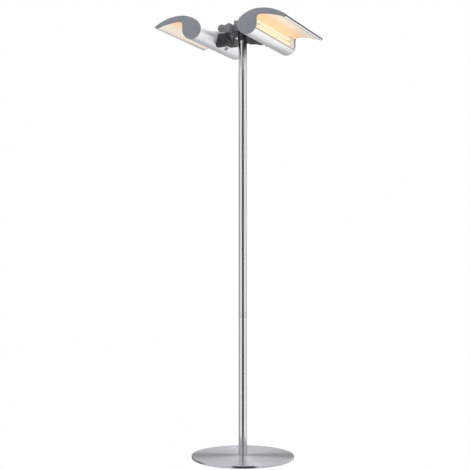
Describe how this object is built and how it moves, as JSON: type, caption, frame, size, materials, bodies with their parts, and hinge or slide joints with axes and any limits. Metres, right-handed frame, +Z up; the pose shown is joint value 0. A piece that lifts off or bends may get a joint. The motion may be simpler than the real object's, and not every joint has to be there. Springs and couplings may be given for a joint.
{
  "type": "floor lamp",
  "caption": "Floor lamp on a round steel foot, its slim pole carrying two long parallel heads with curved wings that light downward and flap up to light the ceiling.",
  "frame": {"origin": "centre of the foot's underside, on the floor, under the pole's centre line", "axes": "+Z up along the pole; the heads lie along Y with their switches near the middle and their wings opening out along -X and +X; -Y is the front"},
  "size_m": [0.5588, 0.46, 1.8],
  "materials": {
    "rubber": "matt moulded rubber",
    "weight": "plain turned disc, hidden under the steel cover",
    "foot_steel": "stainless sheet brushed in circles about the pole",
    "pole_steel": "stainless tube brushed along its length",
    "band_steel": "turned stainless band",
    "zinc": "zinc plated",
    "pin_steel": "ground steel, its ends painted grey",
    "leaf_steel": "satin steel",
    "bronze": "plain bearing bronze",
    "nylon": "natural nylon",
    "cable": "matt black sheath",
    "black": "die-cast, fine black paint",
    "grey": "die-cast, satin mid-grey paint",
    "shell": "rolled sheet, satin silver",
    "reflector": "white enamelled sheet",
    "dark_trim": "dark anodised strip",
    "cap": "satin mid-grey paint",
    "lamp_glass": "phosphor-coated glass",
    "lamp_plastic": "white moulded plastic",
    "ballast": "pale moulded case",
    "switch_grey": "grey moulded plastic",
    "switch_black": "black moulded plastic"
  },
  "bodies": {
    "stand": {"foot_pad": "rubber", "foot_weight": "weight", "foot_cover": "foot_steel", "foot_bolt": "zinc", "pole_plug": "zinc", "lower_pole": "pole_steel", "pole_joint": "band_steel", "upper_pole": "pole_steel", "cable_grommet": "rubber", "pole_wire": "cable", "bearing_plug": "bronze", "swivel_washer": "nylon"},
    "hub": {"spindle": "zinc", "spindle_nut": "zinc", "hub_collar": "black", "hub_housing": "grey", "hub_lid": "grey", "terminal_block": "nylon", "left_arm": "grey", "right_arm": "grey", "arm_screws": "zinc", "left_hinge_pin": "pin_steel", "right_hinge_pin": "pin_steel", "left_lead": "cable", "right_lead": "cable"},
    "left_head": {"left_shell": "shell", "left_reflector": "reflector", "left_lip_trim": "dark_trim", "left_front_cap": "cap", "left_rear_cap": "cap", "left_cap_screws": "zinc", "left_tie_rods": "zinc", "left_lamp_tube": "lamp_glass", "left_lamp_base": "lamp_plastic", "left_lamp_holder": "lamp_plastic", "left_lamp_clip": "zinc", "left_ballast": "ballast", "left_saddle": "black", "left_hinge_leaf": "leaf_steel", "left_saddle_screws": "zinc", "left_switch_frame": "switch_grey"},
    "right_head": {"right_shell": "shell", "right_reflector": "reflector", "right_lip_trim": "dark_trim", "right_front_cap": "cap", "right_rear_cap": "cap", "right_cap_screws": "zinc", "right_tie_rods": "zinc", "right_lamp_tube": "lamp_glass", "right_lamp_base": "lamp_plastic", "right_lamp_holder": "lamp_plastic", "right_lamp_clip": "zinc", "right_ballast": "ballast", "right_saddle": "black", "right_hinge_leaf": "leaf_steel", "right_saddle_screws": "zinc", "right_switch_frame": "switch_grey"},
    "left_switch": {"left_switch_rocker": "switch_black"},
    "right_switch": {"right_switch_rocker": "switch_black"}
  },
  "joints": [
    {"name": "hub_swivel", "type": "hinge", "parent": "stand", "child": "hub", "pos_m": [0, 0, 1.745], "axis": [0, 0, 1], "range_deg": [-170, 170]},
    {"name": "left_head_tilt", "type": "hinge", "parent": "hub", "child": "left_head", "pos_m": [-0.07, 0, 1.763], "axis": [0, 1, 0], "range_deg": [0, 100], "deforming": ["left_lead"]},
    {"name": "right_head_tilt", "type": "hinge", "parent": "hub", "child": "right_head", "pos_m": [0.07, 0, 1.763], "axis": [0, -1, 0], "range_deg": [0, 100], "deforming": ["right_lead"]},
    {"name": "left_switch_rock", "type": "hinge", "parent": "left_head", "child": "left_switch", "pos_m": [-0.0905, 0.034, 1.70124], "axis": [-0.6691, 0, -0.7431], "range_deg": [0, 14]},
    {"name": "right_switch_rock", "type": "hinge", "parent": "right_head", "child": "right_switch", "pos_m": [0.0905, 0.034, 1.70124], "axis": [-0.6691, 0, 0.7431], "range_deg": [0, 14]}
  ]
}
